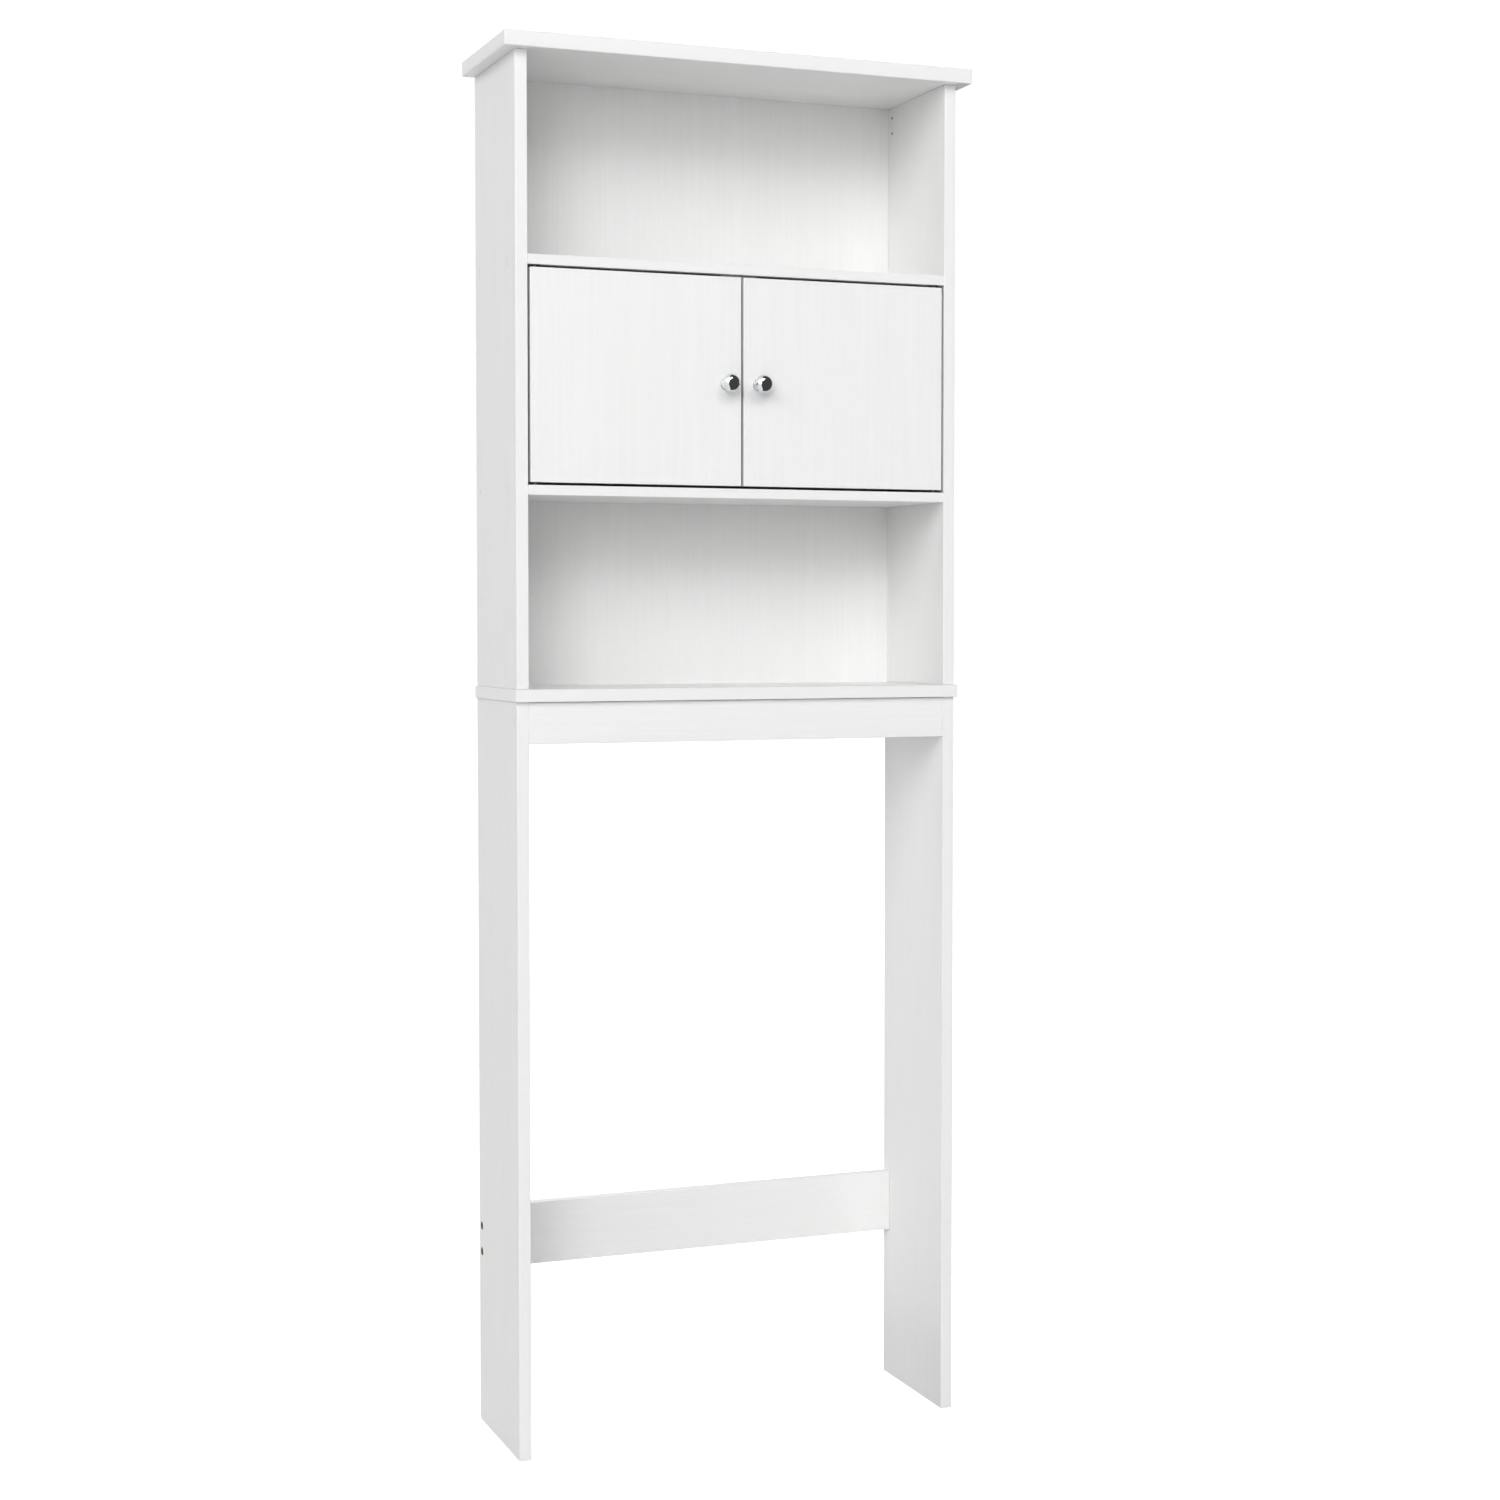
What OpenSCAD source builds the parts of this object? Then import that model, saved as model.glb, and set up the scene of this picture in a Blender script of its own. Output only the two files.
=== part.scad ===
// Over-the-toilet storage rack: a tall open frame of coated boards with two open bays and a
// cabinet with a pair of pivoting doors. Origin on the floor, at the middle of the footprint,
// doors facing -Y, width along X.

/* [Overall] */
// Height from the floor to the upper face of the top board
rack_h = 1680; // [1500:1:2000]
// Width across the outer faces of the side panels
carcass_w = 568; // [460:1:760]
// Depth of the side panels and legs
carcass_d = 176; // [145:1:280]
// Height of the deck's upper face above the floor
deck_z = 917; // [760:1:1100]

/* [Boards] */
// Thickness of the side panels and legs
side_t = 15; // [15:1:22]
// Thickness of the top board
top_t = 18; // [15:1:30]
// Thickness of the deck between the legs and the upper cabinet
deck_t = 15; // [15:1:25]
// Thickness of the two cabinet shelves
shelf_t = 12; // [12:1:20]
// Thickness of the apron and of the lower rail
rail_t = 15; // [12:1:20]
// Thickness of the doors
door_t = 12; // [10:0.5:15]
// Thickness of the back panel
back_t = 3; // [2.5:0.5:5]

/* [Overhangs] */
// Overhang of the top board past each side panel
top_side_over = 16; // [4:1:40]
// Overhang of the top board past the front edges
top_front_over = 14; // [0:1:24]
// Overhang of the deck past each side panel
deck_side_over = 2.5; // [0:0.5:10]
// Overhang of the deck past the front edges
deck_front_over = 6; // [0:0.5:14]

/* [Compartments] */
// Clear height of the open bay between the deck and the lower shelf
lower_bay_h = 228; // [150:1:300]
// Clear height of the cabinet behind the doors
cabinet_h = 257; // [200:1:320]

/* [Back panel] */
// Distance from the back edges of the boards to the back panel
back_inset = 5; // [4:0.5:12]
// How deep the back panel's edges enter the grooves
back_entry = 5; // [3:0.5:6]
// Room left at the bottom of each groove
groove_relief = 0.5; // [0.2:0.1:1]
// Clearance beside the panel in its groove, on each face
groove_clear = 0.1; // [0.05:0.05:0.3]

/* [Lower frame] */
// Height of the apron under the front of the deck
apron_h = 49; // [46:1:90]
// Gap between the apron and the deck
apron_gap = 0.5; // [0.2:0.1:2]
// Height of the lower edge of the rear rail above the floor
rail_z = 193.5; // [80:0.5:400]
// Height of the rear rail
rail_h = 77; // [56:1:120]
// Distance from the back edges of the legs to the rear rail
rail_inset = 4; // [0:0.5:20]

/* [Doors] */
// Gap around and between the doors
door_gap = 3; // [2.5:0.1:4]
// Distance from a door's pin side to its pivot pins
pivot_edge = 8; // [6:0.5:12]
// Distance from a door's free side to the axis of its knob
knob_edge = 19.5; // [14:0.5:60]
// How far the knobs sit under the middle of the doors
knob_drop = 3; // [0:1:60]

/* [Knobs] */
// Diameter of the knob's head
knob_d = 22; // [18:0.5:34]
// Distance from the door's face to the top of the knob
knob_out = 25; // [22:0.5:34]
// Thickness of the knob's domed head
knob_head_t = 15; // [11:0.5:18]
// Diameter of the knob's foot
knob_foot_d = 16; // [12:0.5:24]
// Thickness of the knob's foot
knob_foot_t = 1.6; // [1:0.1:3]
// Diameter of the knob's neck
knob_neck_d = 10; // [8:0.5:14]
// Diameter of the knob's fixing screw
knob_screw_d = 4; // [3:0.5:5]
// How deep the fixing screw enters the knob
knob_screw_entry = 10; // [6:0.5:14]

/* [Pivots] */
// Diameter of the pivot pins
pin_d = 4; // [3:0.5:5]
// Radial running clearance of a pin in its bush
pin_clear = 0.05; // [0.02:0.01:0.1]
// Length of a pin inside its door
pin_in_door = 20; // [12:1:30]
// Diameter of the collar on a pin
pin_collar_d = 8; // [7:0.5:9]
// Diameter of the bush's body
bush_d = 7; // [6.5:0.5:8]
// Depth of the bush's body in the shelf
bush_h = 8; // [6:0.5:9]
// Diameter of the bush's flange
bush_flange_d = 10; // [9:0.5:11]
// Thickness of the bush's flange
bush_flange_t = 1; // [0.8:0.1:1.4]
// Free play between a pin's collar and the bush under or over it
collar_play = 0.1; // [0.05:0.05:0.3]

/* [Catch] */
// Width of the double magnetic catch
catch_w = 46; // [42:1:70]
// Depth of the block that holds the magnets
catch_d = 13; // [10:1:20]
// Height of that block
catch_h = 14; // [12:1:18]
// Depth of the screw flange behind the block
flange_d = 12; // [10:1:18]
// Thickness of the screw flange
flange_t = 3; // [2:0.5:4]
// Distance of each magnet from the middle of the rack
magnet_x = 13; // [12:0.5:14]
// Width of a magnet
magnet_w = 10; // [8:0.5:11]
// Height of a magnet and its pole plates
magnet_h = 7; // [5:0.5:8]
// Thickness of a pole plate
pole_t = 1.2; // [0.8:0.1:1.5]
// How far the pole plates stand out of the block
pole_out = 1; // [0.5:0.1:1.5]
// Gap between the pole plates and the closed strike plates
strike_gap = 0.2; // [0.1:0.05:0.5]
// Width of a strike plate
strike_w = 18; // [14:1:20]
// Height of a strike plate
strike_h = 11; // [9:0.5:12]
// Thickness of a strike plate
strike_t = 1; // [0.8:0.1:1.5]

/* [Screws and dowels] */
// Diameter of the connecting screws' threaded part
screw_d = 4; // [3.5:0.1:5]
// Clearance around a screw in the board that it passes through
screw_clear = 0.2; // [0.1:0.1:0.5]
// Diameter of the connecting screws' heads
screw_head_d = 8; // [7:0.5:9]
// Depth of the connecting screws' tapered heads
screw_head_t = 2.5; // [2:0.1:3]
// How far a connecting screw enters the second board
screw_grip = 30; // [24:1:40]
// Diameter of the screw caps
cap_d = 10; // [9:0.5:12]
// Thickness of the screw caps
cap_t = 1; // [0.8:0.1:2]
// Distance from the front edges to the shelves' front screws
shelf_screw_front = 30; // [20:1:60]
// Distance from the back edges to the shelves' rear screws
shelf_screw_back = 22; // [18:1:60]
// Distance from the front and back edges to the top's and the deck's screws
board_screw_edge = 42; // [36:1:48]
// Distance from the rail's lower edge to its first screw
rail_screw_low = 20; // [12:0.5:28]
// Distance between the rail's two screws at each end
rail_screw_pitch = 32; // [20:1:36]
// How far the rail's screw heads are sunk
rail_screw_sink = 3; // [1:0.5:4]
// Diameter of the dowels
dowel_d = 8; // [6:0.5:8]
// Length of the dowels
dowel_l = 30; // [25:1:40]
// Depth of a dowel in a board's face
dowel_face = 10; // [8:0.5:10]
// Distance from the apron's middle to each of its dowels
apron_dowel_off = 16; // [14:0.5:18]
// Distance from the front and back edges to the legs' dowels
leg_dowel_edge = 24; // [16:1:28]

/* [Cam fittings] */
// Distance from the front and back edges to the legs' cam bolts
cam_edge = 62; // [58:1:66]
// Diameter of the cams
cam_d = 15; // [12:0.5:15]
// Depth of the cams in the legs' inner faces
cam_t = 12; // [11:0.5:12.5]
// Distance from the deck to the middle of the cams
cam_drop = 24; // [20:1:34]
// Diameter of the cam bolts' threads
bolt_thread_d = 6; // [5:0.5:6]
// Length of the cam bolts' threads
bolt_thread_l = 11; // [8:0.5:11]
// Diameter of the cam bolts' stems
bolt_stem_d = 4; // [3:0.5:4.5]
// Diameter of the cam bolts' heads
bolt_head_d = 6; // [5.5:0.5:6.5]
// Clearance around a cam bolt in the leg and in the cam
bolt_clear = 0.5; // [0.3:0.1:0.8]

/* [Wall strap holes] */
// Diameter of the pilot holes for a wall strap's screws
strap_hole_d = 3.5; // [2.5:0.5:4]
// Depth of the pilot holes
strap_hole_deep = 10; // [6:0.5:12]
// Distance between the two pilot holes of a pair
strap_pitch = 20; // [15:1:32]
// Distance from the top board down to the first pilot hole
strap_drop = 13; // [10:1:40]
// Distance from the back panel to the pilot holes
strap_edge = 11; // [8:1:30]

/* [Hidden] */
$fn = 48;
EPS = 0.01;
WHITE = [0.95, 0.95, 0.94];
CHROME = [0.80, 0.81, 0.83];
ZINC = [0.70, 0.71, 0.72];
BLACKED = [0.16, 0.16, 0.17];
NYLON = [0.93, 0.93, 0.92];
ACETAL = [0.12, 0.12, 0.13];
BEECH = [0.82, 0.68, 0.48];
FERRITE = [0.22, 0.22, 0.23];
SIDES = [-1, 1];

// Planes across the depth
front_y = (max(knob_out, top_front_over) - carcass_d) / 2;
back_y = front_y + carcass_d;
mid_y = (front_y + back_y) / 2;
panel_back_y = back_y - back_inset;
panel_front_y = panel_back_y - back_t;
shelf_d = panel_front_y - front_y;

// Planes across the width
outer_x = carcass_w / 2;
inner_x = outer_x - side_t;
side_mid_x = outer_x - side_t / 2;

// Planes up the height
deck_under_z = deck_z - deck_t;
lower_shelf_z = deck_z + lower_bay_h;
cabinet_z = lower_shelf_z + shelf_t;
upper_shelf_z = cabinet_z + cabinet_h;
upper_bay_z = upper_shelf_z + shelf_t;
top_under_z = rack_h - top_t;

// Doors
door_w = (2 * inner_x - 3 * door_gap) / 2;
door_h = cabinet_h - 2 * door_gap;
door_z = cabinet_z + door_gap;
door_top_z = door_z + door_h;
door_mid_y = front_y + door_t / 2;
door_back_y = front_y + door_t;
pivot_x = inner_x - door_gap - pivot_edge;
knob_x = door_gap / 2 + knob_edge;
knob_z = door_z + door_h / 2 - knob_drop;

// Pins and bushes
bush_bore_d = pin_d + 2 * pin_clear;
collar_t = door_gap - bush_flange_t - collar_play;
pin_in_bush = bush_h - 1;

// Catch, measured from the closed strike plates
strike_back_y = door_back_y + strike_t;
catch_front_y = strike_back_y + strike_gap + pole_out;
catch_back_y = catch_front_y + catch_d;
magnet_z = door_top_z - 1 - strike_h / 2;
magnet_d = 8;
pole_d = magnet_d + pole_out;
catch_screw_d = 3;
catch_screw_l = 12;
catch_head_d = 5.6;
catch_head_t = 1.6;
catch_screw_y = catch_back_y + flange_d / 2;
strike_screw_l = 10;

// Screws
screw_head_hole_d = screw_head_d + 2 * screw_clear;
screw_hole_d = screw_d + 2 * screw_clear;
hex_d = 3.6;
hex_deep = 1.6;
cap_stub_d = 2.8;
cap_stub_h = 1.2;
shelf_screw_ys = [front_y + shelf_screw_front, back_y - shelf_screw_back];
shelf_mid_zs = [lower_shelf_z + shelf_t / 2, upper_shelf_z + shelf_t / 2];
board_screw_ys = [front_y + board_screw_edge, back_y - board_screw_edge];
capped_side_l = side_t - cap_t + screw_grip;
apron_mid_z = deck_under_z - apron_gap - apron_h / 2;
apron_mid_y = front_y + rail_t / 2;
apron_dowel_zs = [apron_mid_z - apron_dowel_off, apron_mid_z + apron_dowel_off];
rail_mid_y = back_y - rail_inset - rail_t / 2;
rail_screw_zs = [rail_z + rail_screw_low, rail_z + rail_screw_low + rail_screw_pitch];
knob_screw_head_d = 8;
knob_screw_head_t = 2.4;

// Dowels and cams
dowel_end = dowel_l - dowel_face;
leg_dowel_ys = [front_y + leg_dowel_edge, back_y - leg_dowel_edge];
cam_ys = [front_y + cam_edge, back_y - cam_edge];
cam_z = deck_under_z - cam_drop;
bolt_head_l = 5;

// Wall strap holes
strap_y = panel_front_y - strap_edge;
strap_zs = [top_under_z - strap_drop - strap_pitch, top_under_z - strap_drop];

// ---------- shared shapes ----------

// A board given by its low corner and its size
module board(low, size) {
    translate(low) cube(size);
}

// Puts what points along +Z at a side panel's outer face, pointing into the rack
module into_side(s, x, y, z) {
    translate([s * x, y, z]) rotate([0, -90 * s, 0]) children();
}

// Puts what points along +Z on a door's inner face, pointing out through the door
module through_door(s, x, y, z) {
    translate([s * x, y, z]) rotate([90, 0, 0]) children();
}

// Countersunk hole of a connecting screw: head plane at z = 0, screw towards +Z
module screw_hole(sink, board_t) {
    translate([0, 0, -sink]) cylinder(d = cap_d, h = sink);
    cylinder(d1 = screw_head_hole_d, d2 = screw_hole_d, h = screw_head_t);
    cylinder(d = screw_hole_d, h = board_t + EPS);
}

// Connecting screw with a hexagon socket: head plane at z = 0, screw towards +Z
module connecting_screw(l) {
    color(ZINC) difference() {
        union() {
            cylinder(d1 = screw_head_d, d2 = screw_d, h = screw_head_t);
            cylinder(d = screw_d, h = l - screw_d);
            translate([0, 0, l - screw_d]) cylinder(d1 = screw_d, d2 = 1, h = screw_d);
        }
        translate([0, 0, -EPS]) cylinder(d = hex_d, h = hex_deep + EPS, $fn = 6);
    }
}

// Pilot hole for the threaded end of a connecting screw
module pilot(l) {
    cylinder(d = screw_d, h = l);
}

// Press-in cap whose outer face is flush with the board, its stub in the screw's socket
module screw_cap() {
    color(WHITE) {
        translate([0, 0, -cap_t]) cylinder(d = cap_d, h = cap_t);
        cylinder(d = cap_stub_d, h = cap_stub_h);
    }
}

// Small countersunk wood screw: head plane at z = 0, point towards +Z
module wood_screw(head_d, head_t, d, l) {
    color(ZINC) difference() {
        union() {
            cylinder(d1 = head_d, d2 = d, h = head_t);
            cylinder(d = d, h = l - d);
            translate([0, 0, l - d]) cylinder(d1 = d, d2 = 0.6, h = d);
        }
        for (turn = [0, 90]) rotate([0, 0, turn])
            translate([-head_d / 4, -0.3, -EPS]) cube([head_d / 2, 0.6, 0.8 + EPS]);
    }
}

// Hole of the same form as a small countersunk wood screw
module wood_screw_hole(head_d, head_t, d, l) {
    cylinder(d1 = head_d, d2 = d, h = head_t);
    cylinder(d = d, h = l);
}

// Wooden dowel along +Z with chamfered ends
module dowel() {
    chamfer = 1;
    color(BEECH) {
        cylinder(d1 = dowel_d - 2 * chamfer, d2 = dowel_d, h = chamfer);
        translate([0, 0, chamfer]) cylinder(d = dowel_d, h = dowel_l - 2 * chamfer);
        translate([0, 0, dowel_l - chamfer])
            cylinder(d1 = dowel_d, d2 = dowel_d - 2 * chamfer, h = chamfer);
    }
}

// ---------- upper cabinet ----------

// Side panel between the deck and the top board; s is -1 on the left and 1 on the right
module side_panel(s) {
    h = top_under_z - deck_z;
    color(WHITE) difference() {
        board([s * side_mid_x - side_t / 2, front_y, deck_z], [side_t, carcass_d, h]);
        back_groove(s);
        for (y = shelf_screw_ys, z = shelf_mid_zs)
            into_side(s, outer_x - cap_t, y, z) screw_hole(cap_t + EPS, side_t);
        for (y = board_screw_ys) {
            translate([s * side_mid_x, y, deck_z - EPS]) pilot(screw_grip + EPS);
            translate([s * side_mid_x, y, top_under_z - screw_grip]) pilot(screw_grip + EPS);
        }
        translate([s * side_mid_x, mid_y, deck_z - EPS]) cylinder(d = dowel_d, h = dowel_end + EPS);
        translate([s * side_mid_x, mid_y, top_under_z - dowel_end])
            cylinder(d = dowel_d, h = dowel_end + EPS);
        for (z = strap_zs)
            into_side(s, inner_x + strap_hole_deep, strap_y, z)
                cylinder(d = strap_hole_d, h = strap_hole_deep + EPS);
    }
}

// Groove down a side panel's inner face for the back panel's edge
module back_groove(s) {
    deep = back_entry + groove_relief;
    board(
        [s * (inner_x + deep / 2) - deep / 2 - EPS, panel_front_y - groove_clear, deck_z - EPS],
        [deep + 2 * EPS, back_t + 2 * groove_clear, top_under_z - deck_z + 2 * EPS]
    );
}

module left_side() {
    side_panel(-1);
}

module right_side() {
    side_panel(1);
}

// Groove across the top board or the deck for the back panel's edge, from z upwards
module cross_groove(z) {
    deep = back_entry + groove_relief;
    w = 2 * (inner_x + back_entry);
    board(
        [-w / 2, panel_front_y - groove_clear, z],
        [w, back_t + 2 * groove_clear, deep]
    );
}

module top_board() {
    w = carcass_w + 2 * top_side_over;
    color(WHITE) difference() {
        board([-w / 2, front_y - top_front_over, top_under_z], [w, carcass_d + top_front_over, top_t]);
        translate([0, 0, -EPS]) cross_groove(top_under_z);
        for (s = SIDES, y = board_screw_ys)
            translate([s * side_mid_x, y, rack_h - cap_t]) rotate([180, 0, 0])
                screw_hole(cap_t + EPS, top_t);
        for (s = SIDES)
            translate([s * side_mid_x, mid_y, top_under_z - EPS]) cylinder(d = dowel_d, h = dowel_face + EPS);
    }
}

module deck_board() {
    w = carcass_w + 2 * deck_side_over;
    color(WHITE) difference() {
        board([-w / 2, front_y - deck_front_over, deck_under_z], [w, carcass_d + deck_front_over, deck_t]);
        translate([0, 0, EPS]) cross_groove(deck_z - back_entry - groove_relief);
        for (s = SIDES) {
            for (y = board_screw_ys)
                translate([s * side_mid_x, y, deck_under_z]) screw_hole(EPS, deck_t);
            for (y = leg_dowel_ys)
                translate([s * side_mid_x, y, deck_under_z - EPS]) cylinder(d = dowel_d, h = dowel_face + EPS);
            for (y = cam_ys)
                translate([s * side_mid_x, y, deck_under_z - EPS])
                    cylinder(d = bolt_thread_d, h = bolt_thread_l + EPS);
            translate([s * side_mid_x, mid_y, deck_z - dowel_face]) cylinder(d = dowel_d, h = dowel_face + EPS);
        }
    }
}

// Shelf between the side panels with the pilot holes in its ends
module shelf(z) {
    difference() {
        board([-inner_x, front_y, z], [2 * inner_x, shelf_d, shelf_t]);
        for (s = SIDES, y = shelf_screw_ys)
            into_side(s, inner_x + EPS, y, z + shelf_t / 2) pilot(screw_grip + EPS);
    }
}

module upper_shelf() {
    color(WHITE) difference() {
        shelf(upper_shelf_z);
        for (s = SIDES) {
            translate([s * pivot_x, door_mid_y, upper_shelf_z - EPS]) cylinder(d = bush_d, h = bush_h + EPS);
            translate([s * magnet_x, catch_screw_y, upper_shelf_z - EPS])
                cylinder(d = catch_screw_d, h = catch_screw_l - flange_t + EPS);
        }
    }
}

module lower_shelf() {
    color(WHITE) difference() {
        shelf(lower_shelf_z);
        for (s = SIDES)
            translate([s * pivot_x, door_mid_y, cabinet_z - bush_h]) cylinder(d = bush_d, h = bush_h + EPS);
    }
}

module back_panel() {
    w = 2 * (inner_x + back_entry);
    h = top_under_z - deck_z + 2 * back_entry;
    color(WHITE) board([-w / 2, panel_front_y, deck_z - back_entry], [w, back_t, h]);
}

// ---------- lower frame ----------

// Leg under the deck; s is -1 on the left and 1 on the right
module leg(s) {
    color(WHITE) difference() {
        board([s * side_mid_x - side_t / 2, front_y, 0], [side_t, carcass_d, deck_under_z]);
        into_side(s, outer_x - cap_t, apron_mid_y, apron_mid_z) screw_hole(cap_t + EPS, side_t);
        for (z = apron_dowel_zs)
            into_side(s, inner_x + dowel_face, apron_mid_y, z) cylinder(d = dowel_d, h = dowel_face + EPS);
        for (z = rail_screw_zs)
            into_side(s, outer_x - rail_screw_sink, rail_mid_y, z) screw_hole(rail_screw_sink + EPS, side_t);
        for (y = leg_dowel_ys)
            translate([s * side_mid_x, y, deck_under_z - dowel_end]) cylinder(d = dowel_d, h = dowel_end + EPS);
        for (y = cam_ys) {
            into_side(s, inner_x + cam_t, y, cam_z) cylinder(d = cam_d, h = cam_t + EPS);
            translate([s * side_mid_x, y, cam_z])
                cylinder(d = bolt_head_d + 2 * bolt_clear, h = cam_drop + EPS);
        }
    }
}

module left_leg() {
    leg(-1);
}

module right_leg() {
    leg(1);
}

module apron() {
    color(WHITE) difference() {
        board([-inner_x, front_y, apron_mid_z - apron_h / 2], [2 * inner_x, rail_t, apron_h]);
        for (s = SIDES) {
            into_side(s, inner_x + EPS, apron_mid_y, apron_mid_z) pilot(screw_grip + EPS);
            for (z = apron_dowel_zs)
                into_side(s, inner_x + EPS, apron_mid_y, z) cylinder(d = dowel_d, h = dowel_end + EPS);
        }
    }
}

module lower_rail() {
    color(WHITE) difference() {
        board([-inner_x, rail_mid_y - rail_t / 2, rail_z], [2 * inner_x, rail_t, rail_h]);
        for (s = SIDES, z = rail_screw_zs)
            into_side(s, inner_x + EPS, rail_mid_y, z) pilot(screw_grip + EPS);
    }
}

// ---------- doors ----------

// Door with its holes for the knob's screw, the pins and the strike plate's screw
module door(s) {
    color(WHITE) difference() {
        board([s * (door_gap + door_w) / 2 - door_w / 2, front_y, door_z], [door_w, door_t, door_h]);
        through_door(s, knob_x, door_back_y + EPS, knob_z) cylinder(d = knob_screw_d, h = door_t + 2 * EPS);
        for (z = [door_z - EPS, door_top_z - pin_in_door])
            translate([s * pivot_x, door_mid_y, z]) cylinder(d = pin_d, h = pin_in_door + EPS);
        through_door(s, magnet_x, strike_back_y, magnet_z) strike_screw_hole();
    }
}

module strike_screw_hole() {
    wood_screw_hole(catch_head_d, catch_head_t, catch_screw_d, strike_screw_l);
}

module left_door() {
    door(-1);
}

module right_door() {
    door(1);
}

// Turned knob along +Z: flat foot, waisted neck and domed head
module knob() {
    head_z = knob_out - knob_head_t;
    dome_r = knob_head_t / 2;
    rim_r = knob_d / 2 - dome_r;
    color(CHROME) difference() {
        union() {
            cylinder(d = knob_foot_d, h = knob_foot_t);
            translate([0, 0, knob_foot_t])
                cylinder(d1 = knob_foot_d - 2, d2 = knob_neck_d, h = head_z / 2 - knob_foot_t);
            cylinder(d = knob_neck_d, h = head_z + dome_r);
            translate([0, 0, head_z + dome_r]) rotate_extrude() intersection() {
                translate([0, -dome_r]) square([knob_d / 2, 2 * dome_r]);
                union() {
                    translate([rim_r, 0]) circle(r = dome_r);
                    translate([0, -dome_r]) square([rim_r, 2 * dome_r]);
                }
            }
        }
        translate([0, 0, -EPS]) cylinder(d = knob_screw_d, h = knob_screw_entry + EPS);
    }
}

module door_knob(s) {
    through_door(s, knob_x, front_y, knob_z) knob();
}

module left_knob() {
    door_knob(-1);
}

module right_knob() {
    door_knob(1);
}

// Machine screw from inside the door into its knob
module knob_screw(s) {
    through_door(s, knob_x, door_back_y, knob_z) color(ZINC) difference() {
        union() {
            translate([0, 0, -knob_screw_head_t]) cylinder(d = knob_screw_head_d, h = knob_screw_head_t);
            cylinder(d = knob_screw_d, h = door_t + knob_screw_entry - 1);
        }
        for (turn = [0, 90]) rotate([0, 0, turn])
            translate([-2.2, -0.5, -knob_screw_head_t - EPS]) cube([4.4, 1, 1.4]);
    }
}

module left_knob_screw() {
    knob_screw(-1);
}

module right_knob_screw() {
    knob_screw(1);
}

// Pivot pin along +Z: the collar's far face at z = 0 rests on the door, the pin's end runs to -Z
module pivot_pin() {
    color(BLACKED) {
        cylinder(d = pin_d, h = pin_in_door);
        translate([0, 0, -collar_t]) cylinder(d = pin_collar_d, h = collar_t);
        translate([0, 0, -door_gap - pin_in_bush]) cylinder(d = pin_d, h = door_gap + pin_in_bush);
    }
}

module door_pins(s) {
    translate([s * pivot_x, door_mid_y, door_z]) pivot_pin();
    translate([s * pivot_x, door_mid_y, door_top_z]) rotate([180, 0, 0]) pivot_pin();
}

module left_door_pins() {
    door_pins(-1);
}

module right_door_pins() {
    door_pins(1);
}

module strike_plate(s) {
    color(ZINC) difference() {
        board(
            [s * magnet_x - strike_w / 2, door_back_y, magnet_z - strike_h / 2],
            [strike_w, strike_t, strike_h]
        );
        through_door(s, magnet_x, strike_back_y, magnet_z) strike_screw_hole();
    }
}

module left_strike_plate() {
    strike_plate(-1);
}

module right_strike_plate() {
    strike_plate(1);
}

module strike_screw(s) {
    through_door(s, magnet_x, strike_back_y, magnet_z)
        wood_screw(catch_head_d, catch_head_t, catch_screw_d, strike_screw_l);
}

module left_strike_screw() {
    strike_screw(-1);
}

module right_strike_screw() {
    strike_screw(1);
}

// ---------- pivots and catch ----------

// Flanged bush along +Z: the flange's inner face on the shelf at z = 0, the body in the shelf
module bush() {
    color(ACETAL) difference() {
        union() {
            cylinder(d = bush_d, h = bush_h);
            translate([0, 0, -bush_flange_t]) cylinder(d = bush_flange_d, h = bush_flange_t);
        }
        translate([0, 0, -bush_flange_t - EPS])
            cylinder(d = bush_bore_d, h = bush_flange_t + bush_h + 2 * EPS);
    }
}

module pivot_bushes() {
    for (s = SIDES) {
        translate([s * pivot_x, door_mid_y, upper_shelf_z]) bush();
        translate([s * pivot_x, door_mid_y, cabinet_z]) rotate([180, 0, 0]) bush();
    }
}

// Block under the upper shelf with a pocket for each magnet and a flange with two screw holes
module catch_housing() {
    pocket_w = magnet_w + 2 * pole_t;
    color(NYLON) difference() {
        union() {
            board([-catch_w / 2, catch_front_y, upper_shelf_z - catch_h], [catch_w, catch_d, catch_h]);
            board([-catch_w / 2, catch_back_y, upper_shelf_z - flange_t], [catch_w, flange_d, flange_t]);
        }
        for (s = SIDES) {
            board(
                [s * magnet_x - pocket_w / 2, catch_front_y - EPS, magnet_z - magnet_h / 2],
                [pocket_w, magnet_d + EPS, magnet_h]
            );
            translate([s * magnet_x, catch_screw_y, upper_shelf_z - flange_t])
                wood_screw_hole(catch_head_d, catch_head_t, catch_screw_d, flange_t + EPS);
        }
    }
}

module catch_magnets() {
    color(FERRITE) for (s = SIDES)
        board(
            [s * magnet_x - magnet_w / 2, catch_front_y, magnet_z - magnet_h / 2],
            [magnet_w, magnet_d, magnet_h]
        );
}

// Two steel plates beside each magnet, standing out in front of it
module catch_pole_plates() {
    color(ZINC) for (s = SIDES, k = SIDES)
        board(
            [
                s * magnet_x + k * (magnet_w + pole_t) / 2 - pole_t / 2,
                catch_front_y - pole_out,
                magnet_z - magnet_h / 2
            ],
            [pole_t, pole_d, magnet_h]
        );
}

module catch_screws() {
    for (s = SIDES)
        translate([s * magnet_x, catch_screw_y, upper_shelf_z - flange_t])
            wood_screw(catch_head_d, catch_head_t, catch_screw_d, catch_screw_l);
}

// ---------- fasteners ----------

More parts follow.
